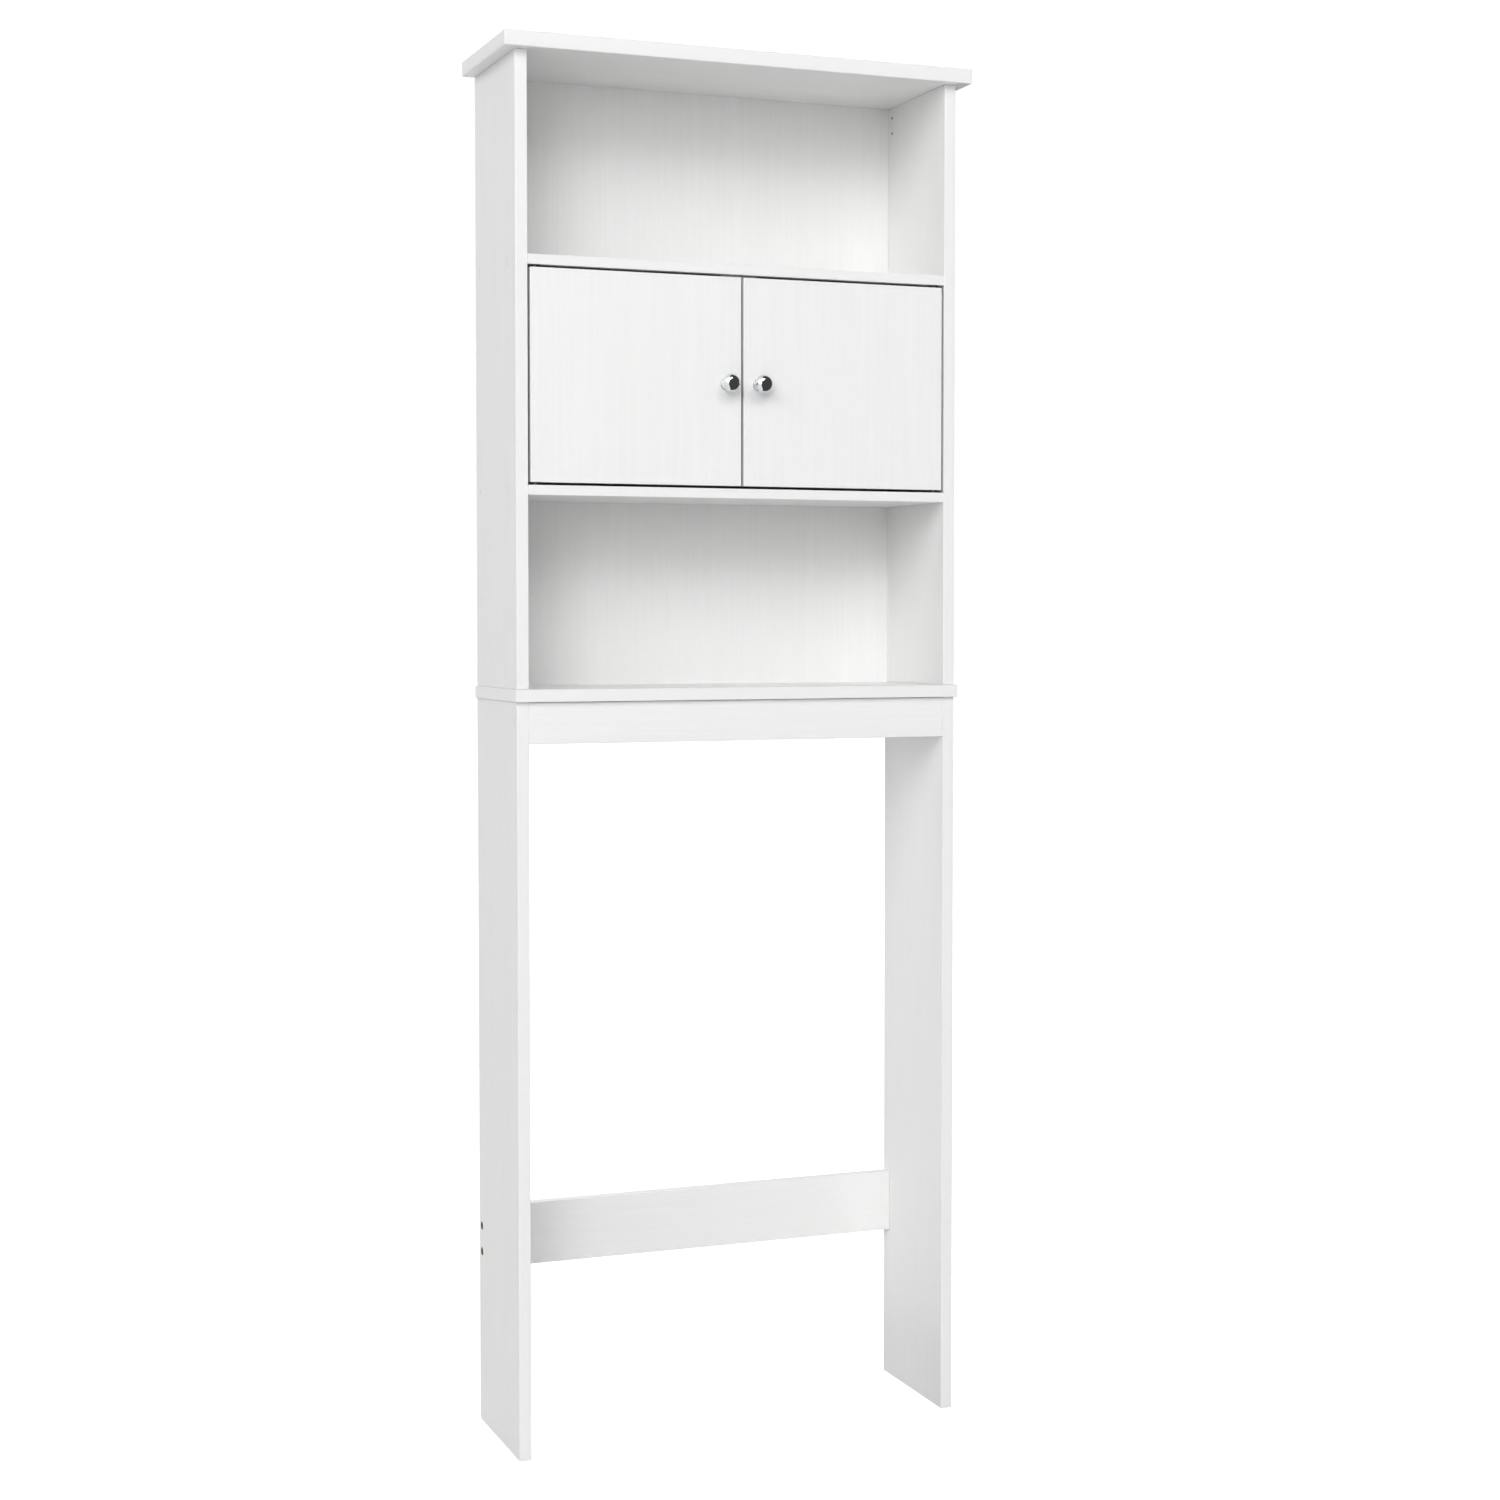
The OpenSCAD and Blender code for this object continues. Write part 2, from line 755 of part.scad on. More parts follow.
module shelf_screws() {
    for (s = SIDES, y = shelf_screw_ys, z = shelf_mid_zs)
        into_side(s, outer_x - cap_t, y, z) connecting_screw(capped_side_l);
}

module shelf_screw_caps() {
    for (s = SIDES, y = shelf_screw_ys, z = shelf_mid_zs)
        into_side(s, outer_x - cap_t, y, z) screw_cap();
}

// Puts what points along +Z under the top board's caps, pointing down
module under_top_cap(s, y) {
    translate([s * side_mid_x, y, rack_h - cap_t]) rotate([180, 0, 0]) children();
}

module top_screws() {
    for (s = SIDES, y = board_screw_ys)
        under_top_cap(s, y) connecting_screw(top_t - cap_t + screw_grip);
}

module top_screw_caps() {
    for (s = SIDES, y = board_screw_ys)
        under_top_cap(s, y) screw_cap();
}

module apron_screws() {
    for (s = SIDES)
        into_side(s, outer_x - cap_t, apron_mid_y, apron_mid_z) connecting_screw(capped_side_l);
}

module apron_screw_caps() {
    for (s = SIDES)
        into_side(s, outer_x - cap_t, apron_mid_y, apron_mid_z) screw_cap();
}

module apron_dowels() {
    for (s = SIDES, z = apron_dowel_zs)
        into_side(s, inner_x + dowel_face, apron_mid_y, z) dowel();
}

module rail_screws() {
    for (s = SIDES, z = rail_screw_zs)
        into_side(s, outer_x - rail_screw_sink, rail_mid_y, z)
            connecting_screw(side_t - rail_screw_sink + screw_grip);
}

module deck_screws() {
    for (s = SIDES, y = board_screw_ys)
        translate([s * side_mid_x, y, deck_under_z]) connecting_screw(deck_t + screw_grip);
}

module top_dowels() {
    for (s = SIDES)
        translate([s * side_mid_x, mid_y, top_under_z - dowel_end]) dowel();
}

module deck_dowels() {
    for (s = SIDES)
        translate([s * side_mid_x, mid_y, deck_z - dowel_face]) dowel();
}

module leg_dowels() {
    for (s = SIDES, y = leg_dowel_ys)
        translate([s * side_mid_x, y, deck_under_z - dowel_end]) dowel();
}

// Bolts that hang from the deck with their heads inside the cams
module leg_cam_bolts() {
    color(ZINC) for (s = SIDES, y = cam_ys) translate([s * side_mid_x, y, 0]) {
        translate([0, 0, deck_under_z]) cylinder(d = bolt_thread_d, h = bolt_thread_l);
        translate([0, 0, cam_z]) cylinder(d = bolt_stem_d, h = cam_drop);
        translate([0, 0, cam_z - bolt_head_l / 2]) cylinder(d = bolt_head_d, h = bolt_head_l);
    }
}

// Cams in the legs' inner faces, hollowed for the bolts' heads
module leg_cams() {
    cavity_d = bolt_head_d + 2 * bolt_clear;
    cross_w = 1.2;
    cross_l = 8;
    color(ZINC) for (s = SIDES, y = cam_ys) difference() {
        into_side(s, inner_x + cam_t, y, cam_z) cylinder(d = cam_d, h = cam_t);
        translate([s * side_mid_x, y, cam_z - cavity_d / 2]) cylinder(d = cavity_d, h = cam_d);
        for (turn = [0, 90])
            into_side(s, inner_x + 1.5, y, cam_z) rotate([0, 0, turn + 45])
                translate([-cross_l / 2, -cross_w / 2, 0]) cube([cross_l, cross_w, 1.5 + EPS]);
    }
}

// ---------- what is drawn ----------

top_board();
left_side();
right_side();
upper_shelf();
lower_shelf();
deck_board();
back_panel();
left_leg();
right_leg();
apron();
lower_rail();
left_door();
right_door();
left_knob();
right_knob();
left_knob_screw();
right_knob_screw();
left_door_pins();
right_door_pins();
left_strike_plate();
right_strike_plate();
left_strike_screw();
right_strike_screw();
pivot_bushes();
catch_housing();
catch_magnets();
catch_pole_plates();
catch_screws();
shelf_screws();
shelf_screw_caps();
top_screws();
top_screw_caps();
apron_screws();
apron_screw_caps();
apron_dowels();
rail_screws();
deck_screws();
top_dowels();
deck_dowels();
leg_dowels();
leg_cam_bolts();
leg_cams();
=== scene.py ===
"""Builds an over-the-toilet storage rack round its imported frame: boards, fittings and a plain studio."""

import math

import bmesh
import bpy
from mathutils import Matrix, Vector


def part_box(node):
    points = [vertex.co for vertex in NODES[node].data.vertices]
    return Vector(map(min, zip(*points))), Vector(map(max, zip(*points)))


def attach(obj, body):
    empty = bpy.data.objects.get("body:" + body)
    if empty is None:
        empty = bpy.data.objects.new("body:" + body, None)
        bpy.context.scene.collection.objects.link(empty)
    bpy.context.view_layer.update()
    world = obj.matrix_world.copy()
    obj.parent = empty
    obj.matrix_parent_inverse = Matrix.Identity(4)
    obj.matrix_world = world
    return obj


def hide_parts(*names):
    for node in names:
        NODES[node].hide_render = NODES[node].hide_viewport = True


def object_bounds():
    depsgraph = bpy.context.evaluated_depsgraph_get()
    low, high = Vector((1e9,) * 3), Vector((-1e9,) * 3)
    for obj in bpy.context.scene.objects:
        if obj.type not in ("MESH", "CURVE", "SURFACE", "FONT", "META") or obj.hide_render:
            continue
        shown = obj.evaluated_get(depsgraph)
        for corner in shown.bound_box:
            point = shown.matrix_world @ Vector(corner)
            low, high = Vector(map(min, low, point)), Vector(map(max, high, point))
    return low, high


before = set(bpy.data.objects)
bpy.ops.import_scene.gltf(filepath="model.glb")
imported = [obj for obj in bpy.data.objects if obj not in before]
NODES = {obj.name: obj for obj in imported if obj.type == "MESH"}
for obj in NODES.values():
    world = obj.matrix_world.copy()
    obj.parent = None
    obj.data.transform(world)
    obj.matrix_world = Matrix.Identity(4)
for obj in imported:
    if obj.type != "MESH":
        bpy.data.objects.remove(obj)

bl_info = {
    "name": "Over-the-toilet storage rack",
    "version": (1, 0, 0),
    "blender": (4, 5, 0),
    "location": "View3D > Sidebar > Rack",
    "description": "Builds a tall white storage rack, its fittings and a plain studio round a fixed frame",
    "category": "Add Mesh",
}

CAD_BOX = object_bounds()
MM = 0.001

# Corners nearer than this are one corner
WELD = 0.002 * MM
# A corner or a face nearer than this to a wall of its board's box lies on that wall
NEAR = 0.02 * MM
# A face whose normal has at least this share along an axis faces along it
SQUARE = 0.99
# Faces that turn by less than this are one flat face
FLAT = math.radians(1)
# Edges where faces meet at more than this are shaded sharp
CREASE = math.radians(40)
# Edges where faces meet at more than this are rounded on pressed and moulded parts
CORNER = math.radians(50)
# Width of the camera's sensor, in millimetres
SENSOR = 36


# ---------- what a user may change ----------


class RackBoards(bpy.types.PropertyGroup):
    """Sizes and colours of the coated boards"""

    arris: bpy.props.FloatProperty(
        name="Arris radius",
        description="Radius along the outer edges of a board, where its edge band is trimmed",
        default=0.8 * MM, min=0.1 * MM, max=3 * MM, precision=5, unit="LENGTH", subtype="DISTANCE",
    )
    top_arris: bpy.props.FloatProperty(
        name="Top board arris radius",
        description="Radius along the outer edges of the thick top board",
        default=1.5 * MM, min=0.1 * MM, max=4 * MM, precision=5, unit="LENGTH", subtype="DISTANCE",
    )
    laminate: bpy.props.FloatVectorProperty(
        name="Laminate", description="Colour of the boards' faces",
        default=(0.85, 0.85, 0.847), min=0, max=1, size=3, subtype="COLOR",
    )
    band: bpy.props.FloatVectorProperty(
        name="Edge band", description="Colour of the bands along the boards' edges",
        default=(0.86, 0.86, 0.858), min=0, max=1, size=3, subtype="COLOR",
    )
    # Painted shade: the core is a darker brown than bare pressed wood, so that drilled holes and grooves read
    # as shaded.
    core: bpy.props.FloatVectorProperty(
        name="Core", description="Colour of the pressed wood inside the boards, seen in bare holes",
        default=(0.24, 0.18, 0.12), min=0, max=1, size=3, subtype="COLOR",
    )
    hardboard: bpy.props.FloatVectorProperty(
        name="Hardboard", description="Colour of the back panel's rear face",
        default=(0.74, 0.73, 0.70), min=0, max=1, size=3, subtype="COLOR",
    )
    grain_width: bpy.props.FloatProperty(
        name="Grain width", description="Width of one line of the printed grain",
        default=2.4 * MM, min=0.2 * MM, max=10 * MM, precision=5, unit="LENGTH", subtype="DISTANCE",
    )
    grain_length: bpy.props.FloatProperty(
        name="Grain length", description="Length of one line of the printed grain",
        default=110 * MM, min=2 * MM, max=0.5, precision=4, unit="LENGTH", subtype="DISTANCE",
    )
    grain_contrast: bpy.props.FloatProperty(
        name="Grain contrast",
        description="How much darker the darkest lines of the grain are than the lightest",
        default=0.045, min=0, max=0.5, subtype="FACTOR",
    )


class RackFittings(bpy.types.PropertyGroup):
    """Colours of the knobs, screws, pivots, catch and dowels"""

    chrome: bpy.props.FloatVectorProperty(
        name="Chrome", description="Colour of the polished knobs",
        default=(0.80, 0.81, 0.83), min=0, max=1, size=3, subtype="COLOR",
    )
    zinc: bpy.props.FloatVectorProperty(
        name="Zinc plate", description="Colour of the plated steel screws and plates",
        default=(0.56, 0.57, 0.59), min=0, max=1, size=3, subtype="COLOR",
    )
    # Painted shade: the pins' near-black is a guess at their blackened finish that also stands in for the shade
    # in the door gaps.
    blacked: bpy.props.FloatVectorProperty(
        name="Blacked steel", description="Colour of the doors' pivot pins",
        default=(0.06, 0.06, 0.065), min=0, max=1, size=3, subtype="COLOR",
    )
    cast_zinc: bpy.props.FloatVectorProperty(
        name="Cast zinc", description="Colour of the cams",
        default=(0.62, 0.63, 0.65), min=0, max=1, size=3, subtype="COLOR",
    )
    plastic: bpy.props.FloatVectorProperty(
        name="White plastic", description="Colour of the caps and the catch",
        default=(0.87, 0.87, 0.862), min=0, max=1, size=3, subtype="COLOR",
    )
    # Painted shade: the bushes' near-black is a guess at their acetal that also stands in for the shade in the
    # door gaps.
    acetal: bpy.props.FloatVectorProperty(
        name="Acetal", description="Colour of the pivot bushes",
        default=(0.03, 0.03, 0.033), min=0, max=1, size=3, subtype="COLOR",
    )
    beech: bpy.props.FloatVectorProperty(
        name="Beech", description="Colour of the dowels",
        default=(0.60, 0.43, 0.26), min=0, max=1, size=3, subtype="COLOR",
    )
    ferrite: bpy.props.FloatVectorProperty(
        name="Ferrite", description="Colour of the magnets",
        default=(0.035, 0.035, 0.04), min=0, max=1, size=3, subtype="COLOR",
    )
    thread_pitch: bpy.props.FloatProperty(
        name="Thread pitch", description="Distance from one turn of a connecting screw's thread to the next",
        default=3 * MM, min=1 * MM, max=6 * MM, precision=5, unit="LENGTH", subtype="DISTANCE",
    )
    cap_dish: bpy.props.FloatProperty(
        name="Cap dish", description="Depth of the shallow dish in a screw cap's face",
        default=0.15 * MM, min=0, max=0.5 * MM, precision=5, unit="LENGTH", subtype="DISTANCE",
    )
    flutes: bpy.props.IntProperty(
        name="Flutes", description="Number of flutes round a dowel", default=18, min=6, max=40,
    )


class RackStudio(bpy.types.PropertyGroup):
    """Floor, lights and camera"""

    floor: bpy.props.FloatVectorProperty(
        name="Floor", description="Colour of the floor",
        default=(0.5, 0.5, 0.5), min=0, max=1, size=3, subtype="COLOR",
    )
    floor_glow: bpy.props.FloatProperty(
        name="Floor glow", description="Light that the floor sends up, as on a lit sweep",
        default=0.15, min=0, max=2,
    )
    floor_white: bpy.props.FloatProperty(
        name="Floor white", description="Further white of the floor as the camera sees it",
        default=0.62, min=0, max=2,
    )
    floor_size: bpy.props.FloatProperty(
        name="Floor size", description="Length of a side of the floor",
        default=60.0, min=4, max=200, unit="LENGTH", subtype="DISTANCE",
    )
    front_light: bpy.props.FloatProperty(
        name="Front light", description="Strength of the soft lights in front, as a share of their balance",
        default=0.96, min=0, max=10,
    )
    rear_light: bpy.props.FloatProperty(
        name="Rear light", description="Strength of the soft light above the back",
        default=0.85, min=0, max=10,
    )
    light_distance: bpy.props.FloatProperty(
        name="Light distance", description="How far each soft light stands from the rack",
        default=15.0, min=3, max=100, unit="LENGTH", subtype="DISTANCE",
    )
    softness: bpy.props.FloatProperty(
        name="Light width", description="Width of each soft light, as seen from the rack",
        default=math.radians(28), min=0.01, max=math.pi / 2, unit="ROTATION", subtype="ANGLE",
    )
    wall_behind: bpy.props.FloatProperty(
        name="Wall behind", description="Brightness of the studio wall behind the rack",
        default=1.3, min=0, max=5,
    )
    wall_right: bpy.props.FloatProperty(
        name="Wall on the right", description="Brightness of the studio wall on the right",
        default=1.05, min=0, max=5,
    )
    surround_white: bpy.props.FloatProperty(
        name="Surround white", description="Brightness of the empty surround as the camera sees it",
        default=1.05, min=0, max=5,
    )
    bright_card: bpy.props.FloatProperty(
        name="Bright card", description="Brightness of the left of the studio in mirror-like parts",
        default=0.95, min=0, max=5,
    )
    dark_card: bpy.props.FloatProperty(
        name="Dark card", description="Brightness of the right of the studio in mirror-like parts",
        default=0.09, min=0, max=5,
    )
    card_turn: bpy.props.FloatProperty(
        name="Card turn",
        description="Where the left of the studio ends, from straight in front towards the left",
        default=math.radians(20), unit="ROTATION", subtype="ANGLE",
    )
    contrast: bpy.props.FloatProperty(
        name="Contrast", description="Gamma of the finished picture; lower is harder",
        default=0.85, min=0.3, max=2,
    )
    camera_at: bpy.props.FloatVectorProperty(
        name="Camera position", description="Where the camera stands",
        default=(-1.1035, -2.9243, 1.0039), size=3, unit="LENGTH", subtype="TRANSLATION",
    )
    camera_yaw: bpy.props.FloatProperty(
        name="Camera yaw", description="How far the camera turns to the right of straight at the wall",
        default=math.radians(21.342), unit="ROTATION", subtype="ANGLE",
    )
    camera_pitch: bpy.props.FloatProperty(
        name="Camera pitch", description="How far the camera looks down",
        default=math.radians(2.31), unit="ROTATION", subtype="ANGLE",
    )
    camera_lens: bpy.props.FloatProperty(
        name="Camera lens", description="Focal length on a 36 mm sensor",
        default=60.45, min=10, max=500, unit="CAMERA",
    )
    camera_rise: bpy.props.FloatProperty(
        name="Camera rise", description="Vertical shift of the lens, as a share of the picture",
        default=-0.022, min=-1, max=1,
    )


# ---------- finishes ----------

# Where the colour sockets stand among the Mix node's inputs and outputs
FIRST_COLOUR = 6
SECOND_COLOUR = 7
MIXED_COLOUR = 2


class Signal:
    """An output socket that joins in Python arithmetic by adding Math nodes."""

    def __init__(self, graph, socket):
        self.graph = graph
        self.socket = socket

    def _math(self, operation, first, second):
        return self.graph.node("ShaderNodeMath", {"operation": operation}, {0: first, 1: second})

    def __add__(self, other):
        return self._math("ADD", self, other)

    def __radd__(self, other):
        return self._math("ADD", other, self)

    def __sub__(self, other):
        return self._math("SUBTRACT", self, other)

    def __rsub__(self, other):
        return self._math("SUBTRACT", other, self)

    def __mul__(self, other):
        return self._math("MULTIPLY", self, other)

    def __rmul__(self, other):
        return self._math("MULTIPLY", other, self)

    def above(self, floor):
        """This value, or floor where it is lower."""
        return self._math("MAXIMUM", self, floor)


class Graph:
    """The nodes of one material or world; every node comes from node()."""

    def __init__(self, owner):
        owner.use_nodes = True
        self.tree = owner.node_tree
        self.tree.nodes.clear()

    def node(self, kind, settings=None, values=None, output=0):
        """Adds a node, applies its settings, then fills its sockets with values or links."""
        made = self.tree.nodes.new(kind)
        for name, setting in (settings or {}).items():
            if name == "stops":
                for stop, (place, level) in zip(self._stops(made, len(setting)), setting):
                    stop.position = place
                    stop.color = (level, level, level, 1)
            else:
                setattr(made, name, setting)
        for name, value in (values or {}).items():
            if isinstance(value, Signal):
                self.tree.links.new(value.socket, made.inputs[name])
            else:
                made.inputs[name].default_value = value
        return Signal(self, made.outputs[output]) if made.outputs else None

    def _stops(self, made, count):
        stops = made.color_ramp.elements
        while len(stops) < count:
            stops.new(1.0)
        return stops

    def scaled(self, place, size):
        """Stretches a place so that a pattern of size 1 takes a size, one for all axes or one for each."""
        sizes = size if isinstance(size, (list, tuple)) else (size,) * 3
        shares = tuple(1 / size for size in sizes)
        return self.node("ShaderNodeVectorMath", {"operation": "MULTIPLY"}, {0: place, 1: shares})

    def noise(self, place, size, detail=2.0, roughness=0.5):
        """Smooth noise from 0 to 1 whose lumps have a size."""
        return self.node(
            "ShaderNodeTexNoise", {"noise_dimensions": "3D"},
            {"Vector": self.scaled(place, size), "Scale": 1.0, "Detail": detail, "Roughness": roughness},
        )

    def ramp(self, level, stops):
        """Goes between the levels of its (place, level) stops."""
        return self.node("ShaderNodeValToRGB", {"stops": stops}, {"Fac": level})

    def blend(self, share, first, second):
        """Goes from the first colour to the second as share goes from 0 to 1."""
        values = {"Factor": share, FIRST_COLOUR: first, SECOND_COLOUR: second}
        return self.node("ShaderNodeMix", {"data_type": "RGBA"}, values, output=MIXED_COLOUR)

    def bump(self, height, depth):
        """A normal pushed out by a height from 0 to 1 that stands for depth metres."""
        return self.node("ShaderNodeBump", None, {"Height": height, "Distance": depth, "Strength": 1.0})


def rgba(color, level=1.0):
    return (*(channel * level for channel in color), 1.0)


def finish(name, build):
    """A material with one Principled shader, whose sockets build(graph, place) gives."""
    material = bpy.data.materials.new(name)
    graph = Graph(material)
    place = graph.node("ShaderNodeTexCoord", output="Object")
    shader = graph.node("ShaderNodeBsdfPrincipled", None, build(graph, place))
    graph.node("ShaderNodeOutputMaterial", None, {"Surface": shader})
    return material


def laminate(name, color, boards, along):
    """White foil printed and embossed with a fine grain that runs along one axis."""

    def build(graph, place):
        def drawn_out(across, length, detail, roughness=0.5):
            size = [across * boards.grain_width] * 3
            size[along] = length * boards.grain_length
            return graph.noise(place, size, detail, roughness)

        lines = drawn_out(1, 1, detail=3.0, roughness=0.6)
        streaks = drawn_out(5, 4, detail=1.0)
        pores = graph.ramp(drawn_out(0.25, 0.1, detail=1.0), [(0.30, 1.0), (0.44, 0.0)])
        peel = graph.noise(place, 1.6 * MM, detail=1.0)
        shade = 0.4 + (lines - 0.5) * 1.6 + (streaks - 0.5) * 0.5 + pores * 0.3
        pale, deep = (rgba(color, 1 + side * boards.grain_contrast / 2) for side in (1, -1))
        return {
            "Base Color": graph.blend(shade, pale, deep),
            "Roughness": 0.36 + (lines - 0.5) * 0.16 + pores * 0.10,
            "Normal": graph.bump(1 - pores * 0.8 + (lines - 0.5) * 0.8 + (peel - 0.5) * 0.3, 0.035 * MM),
            "IOR": 1.48,
        }

    return finish(name, build)


def edge_band(name, color, along):
    """Smooth strip glued along a board's edge, with the faint lines that the trimming cutter leaves."""

    def build(graph, place):
        size = [0.5 * MM] * 3
        size[along] = 60 * MM
        lines = graph.noise(place, size)
        return {
            "Base Color": graph.blend(lines, rgba(color, 1.0), rgba(color, 0.985)),
            "Roughness": 0.34 + (lines - 0.5) * 0.12,
            "Normal": graph.bump(lines, 0.012 * MM),
            "IOR": 1.48,
        }

    return finish(name, build)


def chip_core(name, color):
    """Pressed wood chips, as bare in a drilled hole or a groove, in a colour darkened with painted shade."""

    def build(graph, place):
        chips = graph.node(
            "ShaderNodeTexVoronoi", {"feature": "F1"},
            {"Vector": graph.scaled(place, 1.8 * MM), "Scale": 1.0}, output="Color",
        )
        tone = graph.node("ShaderNodeSeparateColor", None, {"Color": chips})
        return {
            "Base Color": graph.blend(tone, rgba(color, 0.7), rgba(color, 1.25)),
            "Roughness": 0.82 + (tone - 0.5) * 0.1,
            "Normal": graph.bump(tone, 0.25 * MM),
        }

    return finish(name, build)


def hardboard(name, color):
    """Rear face of a hardboard: the print of the press's screen, primed thinly, with stray darker fibres."""

    def build(graph, place):
        def wave(axis):
            return graph.node(
                "ShaderNodeTexWave", {"bands_direction": axis},
                {"Vector": graph.scaled(place, 1.7 * MM), "Scale": 0.5}, output="Fac",
            )

        screen = wave("X") * wave("Z")
        strands = graph.noise(place, (3 * MM, 3 * MM, 0.6 * MM), detail=4.0, roughness=0.7)
        fibres = graph.ramp(strands, [(0.56, 0.0), (0.72, 1.0)])
        blotches = graph.noise(place, 50 * MM, detail=3.0)
        primed = graph.blend(blotches, rgba(color, 0.98), rgba(color, 1.02))
        return {
            "Base Color": graph.blend(fibres * 0.5 + screen * 0.12, primed, rgba(color, 0.72)),
            "Roughness": 0.7 + (blotches - 0.5) * 0.15,
            "Normal": graph.bump(screen + fibres * 0.3, 0.12 * MM),
        }

    return finish(name, build)


def board_finishes(context):
    """The finishes that every board shares, made once."""
    if "laminate_upright" not in bpy.data.materials:
        boards = context.scene.rack_boards
        laminate("laminate_level", boards.laminate, boards, along=0)
        laminate("laminate_upright", boards.laminate, boards, along=2)
        edge_band("edge_band_level", boards.band, along=0)
        edge_band("edge_band_upright", boards.band, along=2)
        # The core's darkened colour is painted shade for the holes and grooves that it lines.
        chip_core("chip_core", boards.core)
    return bpy.data.materials


def plated_steel(name, color):
    """Bright zinc plate: fine tumbling marks and patches of thicker plate."""

    def build(graph, place):
        marks = graph.noise(place, 0.35 * MM, detail=3.0)
        patches = graph.noise(place, 3 * MM, detail=1.0)
        return {
            "Base Color": graph.blend(patches, rgba(color, 0.86), rgba(color, 1.08)),
            "Metallic": 1.0,
            "Roughness": 0.26 + (marks - 0.5) * 0.2,
            "Normal": graph.bump(marks, 0.02 * MM),
        }

    return finish(name, build)


def blacked_steel(name, color):
    """Turned steel, blackened and oiled, with the faint rings of the turning tool; its dark colour also stands
    in for the shade in the door gaps.
    """

    def build(graph, place):
        rings = graph.noise(place, (8 * MM, 8 * MM, 0.3 * MM))
        patches = graph.noise(place, 1.5 * MM)
        return {
            "Base Color": graph.blend(patches, rgba(color, 0.8), rgba(color, 1.4)),
            "Metallic": 0.6,
            "Roughness": 0.42 + (rings - 0.5) * 0.2,
            "Normal": graph.bump(rings, 0.02 * MM),
        }

    return finish(name, build)


def polished_chrome(name, color):
    """Mirror chrome with the faintest ripple from polishing and a little haze in patches."""

    def build(graph, place):
        haze = graph.noise(place, 5 * MM)
        ripple = graph.noise(place, 2.5 * MM, detail=1.0)
        return {
            "Base Color": graph.blend(haze, rgba(color, 0.98), rgba(color, 1.02)),
            "Metallic": 1.0,
            "Roughness": 0.05 + haze * 0.03,
            "Normal": graph.bump(ripple, 0.008 * MM),
        }

    return finish(name, build)


def moulded_plastic(name, color):
    """Satin moulded plastic with a fine spark-eroded texture."""

    def build(graph, place):
        grit = graph.noise(place, 0.25 * MM)
        flow = graph.noise(place, 6 * MM, detail=1.0)
        return {
            "Base Color": graph.blend(flow, rgba(color, 0.98), rgba(color, 1.01)),
            "Roughness": 0.44 + (grit - 0.5) * 0.12,
            "Normal": graph.bump(grit, 0.02 * MM),
            "IOR": 1.5,
        }

    return finish(name, build)


def turned_beech(name, color):
    """Raw beech with short dark flecks along the dowel."""

    def build(graph, place):
        fleck = graph.ramp(graph.noise(place, (0.5 * MM, 0.5 * MM, 2.5 * MM)), [(0.34, 1.0), (0.44, 0.0)])
        tone = graph.noise(place, (3 * MM, 3 * MM, 20 * MM))
        plain = graph.blend(tone, rgba(color, 0.92), rgba(color, 1.1))
        return {
            "Base Color": graph.blend(fleck * 0.6, plain, rgba(color, 0.55)),
            "Roughness": 0.7 + fleck * 0.1,
            "Normal": graph.bump(1 - fleck, 0.05 * MM),
        }

    return finish(name, build)


def pressed_ferrite(name, color):
    """Dull dark ceramic with a grainy pressed face."""

    def build(graph, place):
        grain = graph.noise(place, 0.4 * MM, detail=3.0)
        return {
            "Base Color": graph.blend(grain, rgba(color, 0.7), rgba(color, 1.6)),
            "Roughness": 0.62 + (grain - 0.5) * 0.2,
            "Normal": graph.bump(grain, 0.04 * MM),
        }

    return finish(name, build)


def cast_zinc(name, color):
    """Die-cast zinc, tumbled dull, with darker flow patches."""

    def build(graph, place):
        grit = graph.noise(place, 0.3 * MM, detail=3.0)
        flow = graph.noise(place, 2 * MM)
        return {
            "Base Color": graph.blend(flow, rgba(color, 0.78), rgba(color, 1.05)),
            "Metallic": 1.0,
            "Roughness": 0.42 + (grit - 0.5) * 0.25,
            "Normal": graph.bump(grit, 0.04 * MM),
        }

    return finish(name, build)


# ---------- boards ----------


def on_rim(edge, low, high):
    """True for an edge along one of the twelve outer edges of the board's box."""
    walls = 0
    for axis in range(3):
        walls += any(
            all(abs(corner.co[axis] - wall) < NEAR for corner in edge.verts) for wall in (low[axis], high[axis])
        )
    return walls >= 2


def shell_of(node):
    """A welded mesh of the node's solids, each flat face whole."""
    source = NODES[node].data
    shell = bmesh.new()
    corners = [shell.verts.new(vertex.co) for vertex in source.vertices]
    for face in source.polygons:
        shell.faces.new([corners[index] for index in face.vertices])
    bmesh.ops.remove_doubles(shell, verts=shell.verts, dist=WELD)
    bmesh.ops.dissolve_limit(shell, angle_limit=FLAT, verts=shell.verts, edges=shell.edges)
    return shell


def add_piece(name, shell, materials):
    """Turns a mesh under construction into an object with even shading and sharp creases."""
    for face in shell.faces:
        face.smooth = True
    mesh = bpy.data.meshes.new(name)
    shell.to_mesh(mesh)
    shell.free()
    for material in materials:
        mesh.materials.append(material)
    mesh.set_sharp_from_angle(angle=CREASE)
    piece = bpy.data.objects.new(name, mesh)
    bpy.context.scene.collection.objects.link(piece)
    even = piece.modifiers.new("even_shading", "WEIGHTED_NORMAL")
    even.keep_sharp = True
    return piece


